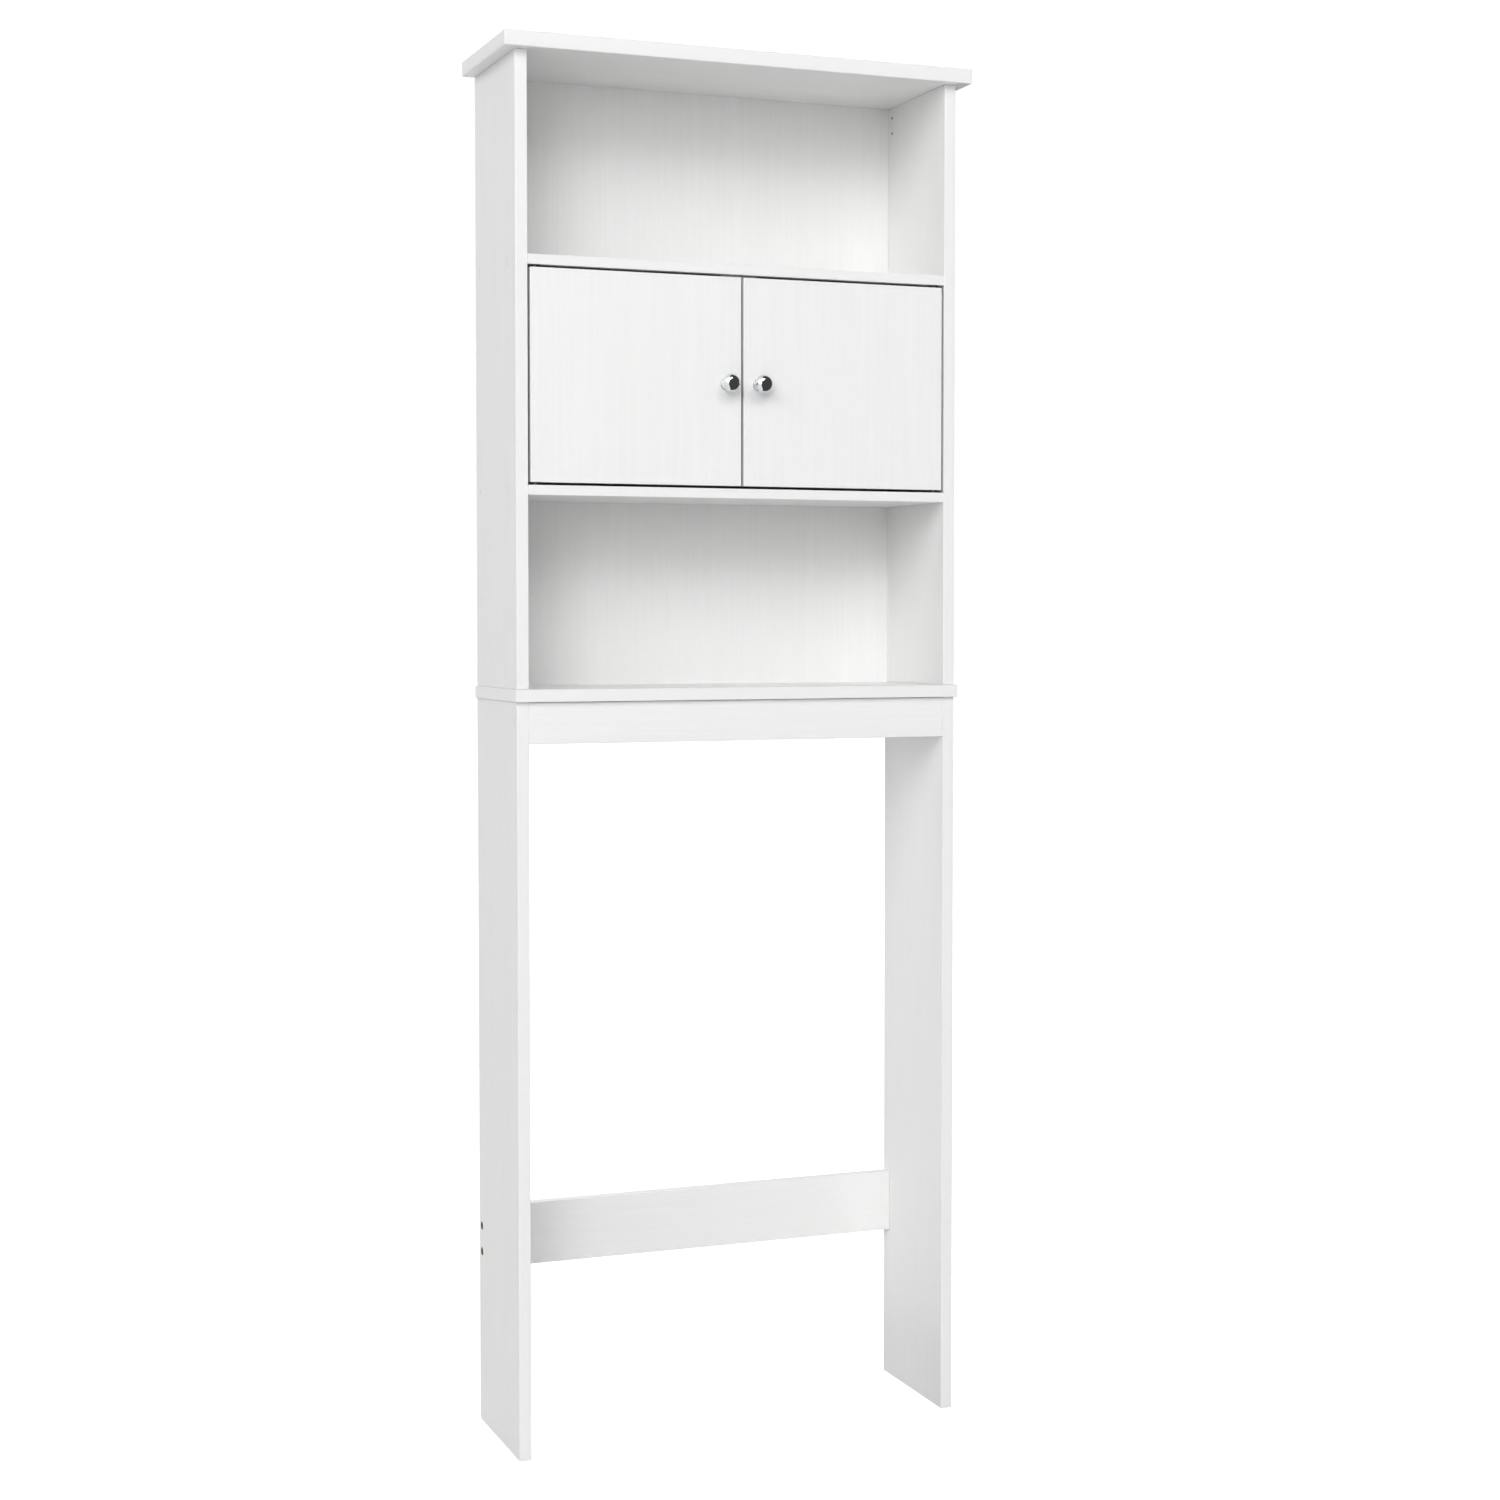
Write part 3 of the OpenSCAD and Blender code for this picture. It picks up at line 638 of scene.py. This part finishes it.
def solid_board(name, node, arris, thick, faces, band, core):
    """A board with the node's cuts and holes, its outer edges rounded and its edges banded."""
    low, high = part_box(node)
    board = shell_of(node)
    rim = [edge for edge in board.edges if on_rim(edge, low, high) and edge.calc_length() > 4 * arris]
    rounded = bmesh.ops.bevel(
        board, geom=rim, offset=arris, offset_type="OFFSET", segments=3, profile=0.5, affect="EDGES",
        clamp_overlap=True,
    )
    arrises = set(rounded["faces"])
    for face in board.faces:
        middle = face.calc_center_median()
        walls = [
            axis for axis in range(3)
            if abs(face.normal[axis]) > SQUARE
            and min(abs(middle[axis] - low[axis]), abs(middle[axis] - high[axis])) < NEAR
        ]
        if face in arrises:
            face.material_index = 1
        elif walls:
            face.material_index = 0 if walls[0] == thick else 1
        else:
            face.material_index = 2
    return add_piece(name, board, (faces, band, core))


def place_board(context, node, body="root", thick=0, along=2, arris=None):
    """Makes the board that stands for a CAD node and hangs it on its body."""
    finishes = board_finishes(context)
    lie = "upright" if along == 2 else "level"
    piece = solid_board(
        f"{node}_banded", node, arris or context.scene.rack_boards.arris, thick,
        finishes[f"laminate_{lie}"], finishes[f"edge_band_{lie}"], finishes["chip_core"],
    )
    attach(piece, body)
    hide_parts(node)
    return piece


class RACK_OT_top_board(bpy.types.Operator):
    """Add the thick top board"""

    bl_idname = "rack.top_board"
    bl_label = "Top board"

    def execute(self, context):
        place_board(context, "top_board", thick=2, along=0, arris=context.scene.rack_boards.top_arris)
        return {"FINISHED"}


class RACK_OT_side_panels(bpy.types.Operator):
    """Add the two side panels of the upper part"""

    bl_idname = "rack.side_panels"
    bl_label = "Side panels"

    def execute(self, context):
        for node in ("left_side", "right_side"):
            place_board(context, node)
        return {"FINISHED"}


class RACK_OT_shelves(bpy.types.Operator):
    """Add the cabinet's ceiling and floor"""

    bl_idname = "rack.shelves"
    bl_label = "Shelves"

    def execute(self, context):
        for node in ("upper_shelf", "lower_shelf"):
            place_board(context, node, thick=2, along=0)
        return {"FINISHED"}


class RACK_OT_deck(bpy.types.Operator):
    """Add the deck board between the upper part and the legs"""

    bl_idname = "rack.deck"
    bl_label = "Deck"

    def execute(self, context):
        place_board(context, "deck_board", thick=2, along=0)
        return {"FINISHED"}


class RACK_OT_back_panel(bpy.types.Operator):
    """Add the thin back panel, coated in front and bare behind"""

    bl_idname = "rack.back_panel"
    bl_label = "Back panel"

    def execute(self, context):
        boards = context.scene.rack_boards
        piece = place_board(context, "back_panel", thick=1, arris=0.2 * MM)
        piece.data.materials.append(hardboard("hardboard_rear", boards.hardboard))
        for face in piece.data.polygons:
            if face.normal.y > SQUARE:
                face.material_index = len(piece.data.materials) - 1
        return {"FINISHED"}


class RACK_OT_legs(bpy.types.Operator):
    """Add the two legs"""

    bl_idname = "rack.legs"
    bl_label = "Legs"

    def execute(self, context):
        for node in ("left_leg", "right_leg"):
            place_board(context, node)
        return {"FINISHED"}


class RACK_OT_rails(bpy.types.Operator):
    """Add the apron under the deck and the rail low at the back"""

    bl_idname = "rack.rails"
    bl_label = "Apron and rail"

    def execute(self, context):
        for node in ("apron", "lower_rail"):
            place_board(context, node, thick=1, along=0)
        return {"FINISHED"}


class RACK_OT_doors(bpy.types.Operator):
    """Add the pair of inset doors"""

    bl_idname = "rack.doors"
    bl_label = "Doors"

    def execute(self, context):
        for hand in ("left", "right"):
            place_board(context, f"{hand}_door", body=f"{hand}_door", thick=1)
        return {"FINISHED"}


# ---------- fittings ----------


def boxes_of(node):
    """The (low, high) corners of each separate solid of a node, in the order of its mesh."""
    shell = shell_of(node)
    boxes = []
    reached = set()
    for start in shell.verts:
        if start in reached:
            continue
        solid = [start]
        reached.add(start)
        for vertex in solid:
            for edge in vertex.link_edges:
                other = edge.other_vert(vertex)
                if other not in reached:
                    reached.add(other)
                    solid.append(other)
        boxes.append([
            Vector([pick(vertex.co[axis] for vertex in solid) for axis in range(3)]) for pick in (min, max)
        ])
    shell.free()
    return boxes


def spun(shell, stand, rings, segments):
    """Adds a closed solid turned round the Z axis of stand, from rings of (radius, height).

    A radius is a number, or a function of the angle round the axis.
    """
    loops = []
    for radius, height in rings:
        at = radius if callable(radius) else lambda turn, plain=radius: plain
        turns = [0.0] if radius == 0 else [2 * math.pi * step / segments for step in range(segments)]
        loops.append([
            shell.verts.new(stand @ Vector((at(turn) * math.cos(turn), at(turn) * math.sin(turn), height)))
            for turn in turns
        ])
    for lower, upper in zip(loops, loops[1:]):
        for step in range(segments):
            corners = [
                lower[step % len(lower)], lower[(step + 1) % len(lower)],
                upper[(step + 1) % len(upper)], upper[step % len(upper)],
            ]
            shell.faces.new(dict.fromkeys(corners))


def stand_in(box, towards):
    """A matrix whose Z axis runs along towards from the middle of the box's near side.

    The box's length along that axis and its radius across it come with the matrix.
    """
    low, high = box
    axis = max(range(3), key=lambda index: abs(towards[index]))
    start = (low + high) / 2
    start[axis] = low[axis] if towards[axis] > 0 else high[axis]
    turned = Vector(towards).to_track_quat("Z", "Y").to_matrix().to_4x4()
    across = (axis + 1) % 3
    return Matrix.Translation(start) @ turned, high[axis] - low[axis], (high[across] - low[across]) / 2


def hexagon(apothem):
    """The radius of a hexagon as a function of the turn."""
    return lambda turn: apothem / math.cos((turn + math.pi / 6) % (math.pi / 3) - math.pi / 6)


def threaded(start, end, root, crest, pitch):
    """Rings of a screw thread from start to end."""
    rings_per_turn = 8
    ridge = 0.34
    steps = max(2, math.ceil(rings_per_turn * (end - start) / pitch))

    def ring(height):
        def radius(turn):
            phase = (height / pitch - turn / (2 * math.pi)) % 1
            return root + (crest - root) * max(0.0, 1 - abs(phase - 0.5) / ridge)

        return radius, height

    return [ring(start + (end - start) * step / steps) for step in range(steps + 1)]


def connecting_screw(fittings, length, radius):
    """Countersunk screw with a hexagon socket and a coarse thread, head first."""
    shank, rim, head, neck = radius / 2, 0.06 * radius, 2.5 * MM, 9 * MM
    socket, socket_depth, lead_in = 0.45 * radius, 1.6 * MM, 0.15 * MM
    thread_start, point = neck + 0.4 * MM, 0.2 * MM
    return [
        (0, socket_depth), (hexagon(socket), socket_depth), (hexagon(socket), lead_in),
        (hexagon(1.08 * socket), 0), (radius - rim, 0), (radius, rim), (shank, head), (0.82 * shank, neck),
        *threaded(thread_start, length - 2 * shank, 0.7 * shank, shank, fittings.thread_pitch),
        (0.6 * shank, length - 1.5 * shank), (0.25 * shank, length - point), (0, length),
    ]


def screw_cap(fittings, length, radius):
    """Press-in cap with a dished face and a rounded rim, its stub behind it."""
    rim, disc, stub = 0.3 * MM, 1.0 * MM, 1.4 * MM
    floor, lip, lip_depth = radius - 1.7 * MM, radius - 1.1 * MM, 0.02 * MM
    turn_in = 0.09 * MM
    return [
        (0, fittings.cap_dish), (floor, fittings.cap_dish), (lip, lip_depth),
        (radius - rim, 0), (radius - turn_in, turn_in), (radius, rim), (radius, disc), (stub, disc),
        (stub, length - rim), (stub - rim, length), (0, length),
    ]


def fluted_dowel(fittings, length, radius):
    """Dowel with glue flutes along it and tapered ends."""
    chamfer, flute_depth, flute_sharpness = 1 * MM, 0.3 * MM, 3

    def fluted(turn):
        return radius - flute_depth * (0.5 + 0.5 * math.cos(fittings.flutes * turn)) ** flute_sharpness

    end = radius - chamfer
    return [(0, 0), (end, 0), (fluted, chamfer), (fluted, length - chamfer), (end, length), (0, length)]


def cam_bolt(fittings, length, radius):
    """Bolt that hangs from the deck: thread, collar, stem and the round head that the cam grips."""
    thread, head, stem = 11 * MM, 5 * MM, 2 * MM
    lead_in, run_out, shoulder, under_head = 0.4 * MM, 0.6 * MM, 0.4 * MM, 0.3 * MM
    return [
        (0, 0), (0.7 * radius, 0),
        *threaded(lead_in, thread - run_out, 0.76 * radius, radius, fittings.thread_pitch / 2),
        (radius, thread), (stem, thread + shoulder), (stem, length - head),
        (0.8 * radius, length - head + under_head), (radius, length - 0.7 * head),
        (radius, length - 0.3 * head), (0.75 * radius, length), (0, length),
    ]


def place_spun(context, node, name, shape, direction, material, segments=32):
    """Replaces each solid of a node by a turned one of the same length and radius, on the root body."""
    shell = bmesh.new()
    fittings = context.scene.rack_fittings
    for box in boxes_of(node):
        towards = direction
        if direction == "inward":
            towards = (-math.copysign(1, sum(corner.x for corner in box)), 0, 0)
        stand, length, radius = stand_in(box, towards)
        spun(shell, stand, shape(fittings, length, radius), segments)
    bmesh.ops.recalc_face_normals(shell, faces=shell.faces)
    piece = add_piece(name, shell, [material])
    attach(piece, "root")
    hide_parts(node)


def shared(make, *details):
    """The finish that make() builds, made once."""
    return bpy.data.materials.get(make.__name__) or make(make.__name__, *details)


def dress(node, material):
    """Gives a CAD node a finish."""
    for slot in NODES[node].material_slots:
        slot.material = material


def place_softened(node, body, radius, material):
    """Replaces a node by a copy whose edges are rounded, as pressed or moulded parts are."""
    shell = shell_of(node)
    sharp = [edge for edge in shell.edges if edge.is_manifold and edge.calc_face_angle() > CORNER]
    bmesh.ops.bevel(
        shell, geom=sharp, offset=radius, offset_type="OFFSET", segments=2, profile=0.5, affect="EDGES",
        clamp_overlap=True,
    )
    piece = add_piece(f"{node}_softened", shell, [material])
    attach(piece, body)
    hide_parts(node)


class RACK_OT_knobs(bpy.types.Operator):
    """Finish the two knobs and the screws that hold them"""

    bl_idname = "rack.knobs"
    bl_label = "Knobs"

    def execute(self, context):
        fittings = context.scene.rack_fittings
        for hand in ("left", "right"):
            dress(f"{hand}_knob", shared(polished_chrome, fittings.chrome))
            dress(f"{hand}_knob_screw", shared(plated_steel, fittings.zinc))
        return {"FINISHED"}


class RACK_OT_pivots(bpy.types.Operator):
    """Finish the doors' pivot pins and their bushes in the shelves"""

    bl_idname = "rack.pivots"
    bl_label = "Pivots"

    def execute(self, context):
        fittings = context.scene.rack_fittings
        for hand in ("left", "right"):
            # Painted shade: the pins are dark partly to stand in for the shade in the door gaps.
            dress(f"{hand}_door_pins", shared(blacked_steel, fittings.blacked))
        # Painted shade: the bushes are dark partly to stand in for the shade in the door gaps.
        dress("pivot_bushes", moulded_plastic("black_acetal_gap_shade", fittings.acetal))
        return {"FINISHED"}


class RACK_OT_catch(bpy.types.Operator):
    """Add the double magnetic catch and the doors' strike plates, and finish their screws"""

    bl_idname = "rack.catch"
    bl_label = "Catch"

    def execute(self, context):
        fittings = context.scene.rack_fittings
        steel = shared(plated_steel, fittings.zinc)
        plastic = shared(moulded_plastic, fittings.plastic)
        ferrite = shared(pressed_ferrite, fittings.ferrite)
        place_softened("catch_housing", "root", 0.5 * MM, plastic)
        place_softened("catch_magnets", "root", 0.2 * MM, ferrite)
        place_softened("catch_pole_plates", "root", 0.15 * MM, steel)
        dress("catch_screws", steel)
        for hand in ("left", "right"):
            place_softened(f"{hand}_strike_plate", f"{hand}_door", 0.2 * MM, steel)
            dress(f"{hand}_strike_screw", steel)
        return {"FINISHED"}


class RACK_OT_screws(bpy.types.Operator):
    """Add the connecting screws"""

    bl_idname = "rack.screws"
    bl_label = "Connecting screws"

    def execute(self, context):
        steel = shared(plated_steel, context.scene.rack_fittings.zinc)
        ways = {
            "shelf_screws": "inward", "apron_screws": "inward", "rail_screws": "inward",
            "top_screws": (0, 0, -1), "deck_screws": (0, 0, 1),
        }
        for node, way in ways.items():
            name = f"{node}_threaded"
            place_spun(context, node, name, connecting_screw, way, steel, segments=24)
        return {"FINISHED"}


class RACK_OT_caps(bpy.types.Operator):
    """Add the caps over the screws' heads"""

    bl_idname = "rack.caps"
    bl_label = "Screw caps"

    def execute(self, context):
        plastic = shared(moulded_plastic, context.scene.rack_fittings.plastic)
        ways = {"shelf_screw_caps": "inward", "apron_screw_caps": "inward", "top_screw_caps": (0, 0, -1)}
        for node, way in ways.items():
            place_spun(context, node, f"{node}_dished", screw_cap, way, plastic, segments=48)
        return {"FINISHED"}


class RACK_OT_dowels(bpy.types.Operator):
    """Add the fluted dowels"""

    bl_idname = "rack.dowels"
    bl_label = "Dowels"

    def execute(self, context):
        fittings = context.scene.rack_fittings
        beech = shared(turned_beech, fittings.beech)
        up = (0, 0, 1)
        ways = {"apron_dowels": "inward", "top_dowels": up, "deck_dowels": up, "leg_dowels": up}
        around = 6 * fittings.flutes
        for node, way in ways.items():
            place_spun(context, node, f"{node}_fluted", fluted_dowel, way, beech, segments=around)
        return {"FINISHED"}


class RACK_OT_cams(bpy.types.Operator):
    """Finish the cams in the legs and add the bolts that they grip"""

    bl_idname = "rack.cams"
    bl_label = "Cams"

    def execute(self, context):
        fittings = context.scene.rack_fittings
        steel = shared(plated_steel, fittings.zinc)
        node = "leg_cam_bolts"
        place_spun(context, node, f"{node}_threaded", cam_bolt, (0, 0, -1), steel)
        dress("leg_cams", shared(cast_zinc, fittings.cast_zinc))
        return {"FINISHED"}


# ---------- studio ----------


class RACK_OT_camera(bpy.types.Operator):
    """Add the camera"""

    bl_idname = "rack.camera"
    bl_label = "Camera"

    def execute(self, context):
        studio = context.scene.rack_studio
        lens = bpy.data.cameras.new("rack_camera")
        lens.lens = studio.camera_lens
        lens.sensor_width = SENSOR
        lens.shift_y = studio.camera_rise
        camera = bpy.data.objects.new("rack_camera", lens)
        camera.location = studio.camera_at
        camera.rotation_euler = (math.pi / 2 - studio.camera_pitch, 0, -studio.camera_yaw)
        context.scene.collection.objects.link(camera)
        context.scene.camera = camera
        return {"FINISHED"}


# Azimuth from straight in front towards the right, elevation, and share of each soft light in front
FRONT_LIGHTS = {
    "low_front_light": (-30, 15, 1.03),
    "high_front_light": (-30, 35, 0.36),
    "left_light": (-60, 25, 0.71),
    "facing_light": (0, 35, 0.79),
}
# Azimuth and elevation of the soft light above the back
REAR_LIGHT = (180, 50)
# Half the width of the soft edge between the bright and the dark card
CARD_EDGE = 0.03


def soft_light(context, name, azimuth, elevation, strength):
    """A round soft light far away, at an azimuth and elevation in degrees."""
    studio = context.scene.rack_studio
    around, up = math.radians(azimuth), math.radians(elevation)
    towards = Vector((math.sin(around) * math.cos(up), -math.cos(around) * math.cos(up), math.sin(up)))
    lamp = bpy.data.lights.new(name, "AREA")
    lamp.shape = "DISK"
    lamp.size = 2 * studio.light_distance * math.tan(studio.softness / 2)
    lamp.energy = strength * math.pi * studio.light_distance ** 2
    light = bpy.data.objects.new(name, lamp)
    light.location = (CAD_BOX[0] + CAD_BOX[1]) / 2 + studio.light_distance * towards
    light.rotation_euler = towards.to_track_quat("Z", "Y").to_euler()
    context.scene.collection.objects.link(light)


class RACK_OT_stage(bpy.types.Operator):
    """Add the pale floor, the soft lights and the white surround"""

    bl_idname = "rack.stage"
    bl_label = "Stage"

    def execute(self, context):
        studio = context.scene.rack_studio
        self.floor(context, studio)
        self.surround(context, studio)
        for name, (azimuth, elevation, share) in FRONT_LIGHTS.items():
            soft_light(context, name, azimuth, elevation, share * studio.front_light)
        soft_light(context, "rear_light", *REAR_LIGHT, studio.rear_light)
        context.scene.view_settings.view_transform = "Standard"
        context.scene.view_settings.gamma = studio.contrast
        return {"FINISHED"}

    def cards(self, graph, direction, studio):
        """The studio as mirror-like parts see it: bright on the left, dark on the right."""
        left = (-math.cos(studio.card_turn), math.sin(studio.card_turn), 0)
        side = graph.node(
            "ShaderNodeVectorMath", {"operation": "DOT_PRODUCT"}, {0: direction, 1: left}, output="Value"
        )
        return graph.ramp(
            side * 0.5 + 0.5, [(0.5 - CARD_EDGE, studio.dark_card), (0.5 + CARD_EDGE, studio.bright_card)]
        )

    def floor(self, context, studio):
        sweep = bmesh.new()
        bmesh.ops.create_grid(sweep, x_segments=1, y_segments=1, size=studio.floor_size / 2)
        mesh = bpy.data.meshes.new("floor")
        sweep.to_mesh(mesh)
        sweep.free()
        material = bpy.data.materials.new("pale_floor")
        graph = Graph(material)
        place = graph.node("ShaderNodeTexCoord", output="Object")
        mottle = graph.noise(place, 300 * MM)
        pale = graph.blend(mottle, rgba(studio.floor, 0.99), rgba(studio.floor, 1.01))

        def painted(glow):
            return graph.node("ShaderNodeBsdfPrincipled", None, {
                "Base Color": pale, "Roughness": 0.8, "Specular IOR Level": 0.1,
                "Emission Color": (1, 1, 1, 1), "Emission Strength": glow,
            })

        outward = graph.node("ShaderNodeVectorMath", {"operation": "NORMALIZE"}, {0: place})
        mirrored = graph.node("ShaderNodeEmission", None, {"Color": self.cards(graph, outward, studio)})
        seen = graph.node("ShaderNodeMixShader", None, {
            0: graph.node("ShaderNodeLightPath", output="Is Camera Ray"),
            1: painted(studio.floor_glow), 2: painted(studio.floor_glow + studio.floor_white),
        })
        surface = graph.node("ShaderNodeMixShader", None, {
            0: graph.node("ShaderNodeLightPath", output="Is Glossy Ray"), 1: seen, 2: mirrored,
        })
        graph.node("ShaderNodeOutputMaterial", None, {"Surface": surface})
        mesh.materials.append(material)
        floor = bpy.data.objects.new("floor", mesh)
        context.scene.collection.objects.link(floor)

    def surround(self, context, studio):
        """White to the camera, walls of light behind and on the right, and the cards in mirror-like parts."""
        world = bpy.data.worlds.new("surround")
        context.scene.world = world
        graph = Graph(world)
        direction = graph.node("ShaderNodeTexCoord", output="Generated")
        right, behind = (
            graph.node("ShaderNodeSeparateXYZ", None, {"Vector": direction}, output=axis)
            for axis in ("X", "Y")
        )
        walls = behind.above(0) * studio.wall_behind + right.above(0) * studio.wall_right
        plain = (1, 1, 1, 1)
        lit = graph.node("ShaderNodeBackground", None, {"Strength": walls, "Color": plain})
        mirrored = graph.node("ShaderNodeBackground", None, {"Color": self.cards(graph, direction, studio)})
        white = graph.node("ShaderNodeBackground", None, {"Strength": studio.surround_white, "Color": plain})
        seen = graph.node("ShaderNodeMixShader", None, {
            0: graph.node("ShaderNodeLightPath", output="Is Camera Ray"), 1: lit, 2: white,
        })
        both = graph.node("ShaderNodeMixShader", None, {
            0: graph.node("ShaderNodeLightPath", output="Is Glossy Ray"), 1: seen, 2: mirrored,
        })
        graph.node("ShaderNodeOutputWorld", None, {"Surface": both})


# ---------- add-on ----------

GROUPS = {"rack_boards": RackBoards, "rack_fittings": RackFittings, "rack_studio": RackStudio}

OPERATORS = (
    RACK_OT_camera,
    RACK_OT_top_board,
    RACK_OT_side_panels,
    RACK_OT_shelves,
    RACK_OT_deck,
    RACK_OT_back_panel,
    RACK_OT_legs,
    RACK_OT_rails,
    RACK_OT_doors,
    RACK_OT_knobs,
    RACK_OT_pivots,
    RACK_OT_catch,
    RACK_OT_screws,
    RACK_OT_caps,
    RACK_OT_dowels,
    RACK_OT_cams,
    RACK_OT_stage,
)


class RACK_PT_sidebar(bpy.types.Panel):
    """Everything that builds the rack, with what a user may change"""

    bl_idname = "RACK_PT_sidebar"
    bl_label = "Storage rack"
    bl_space_type = "VIEW_3D"
    bl_region_type = "UI"
    bl_category = "Rack"

    def draw(self, context):
        for name, group in GROUPS.items():
            box = self.layout.box()
            for value in group.__annotations__:
                box.prop(getattr(context.scene, name), value)
        for operator in OPERATORS:
            self.layout.operator(operator.bl_idname)


def register():
    for kind in (*GROUPS.values(), *OPERATORS, RACK_PT_sidebar):
        bpy.utils.register_class(kind)
    for name, group in GROUPS.items():
        setattr(bpy.types.Scene, name, bpy.props.PointerProperty(type=group))


def unregister():
    for name in GROUPS:
        delattr(bpy.types.Scene, name)
    for kind in reversed((*GROUPS.values(), *OPERATORS, RACK_PT_sidebar)):
        bpy.utils.unregister_class(kind)


def main():
    register()
    for operator in OPERATORS:
        getattr(bpy.ops.rack, operator.bl_idname.split(".")[1])()


if __name__ == "__main__":
    main()
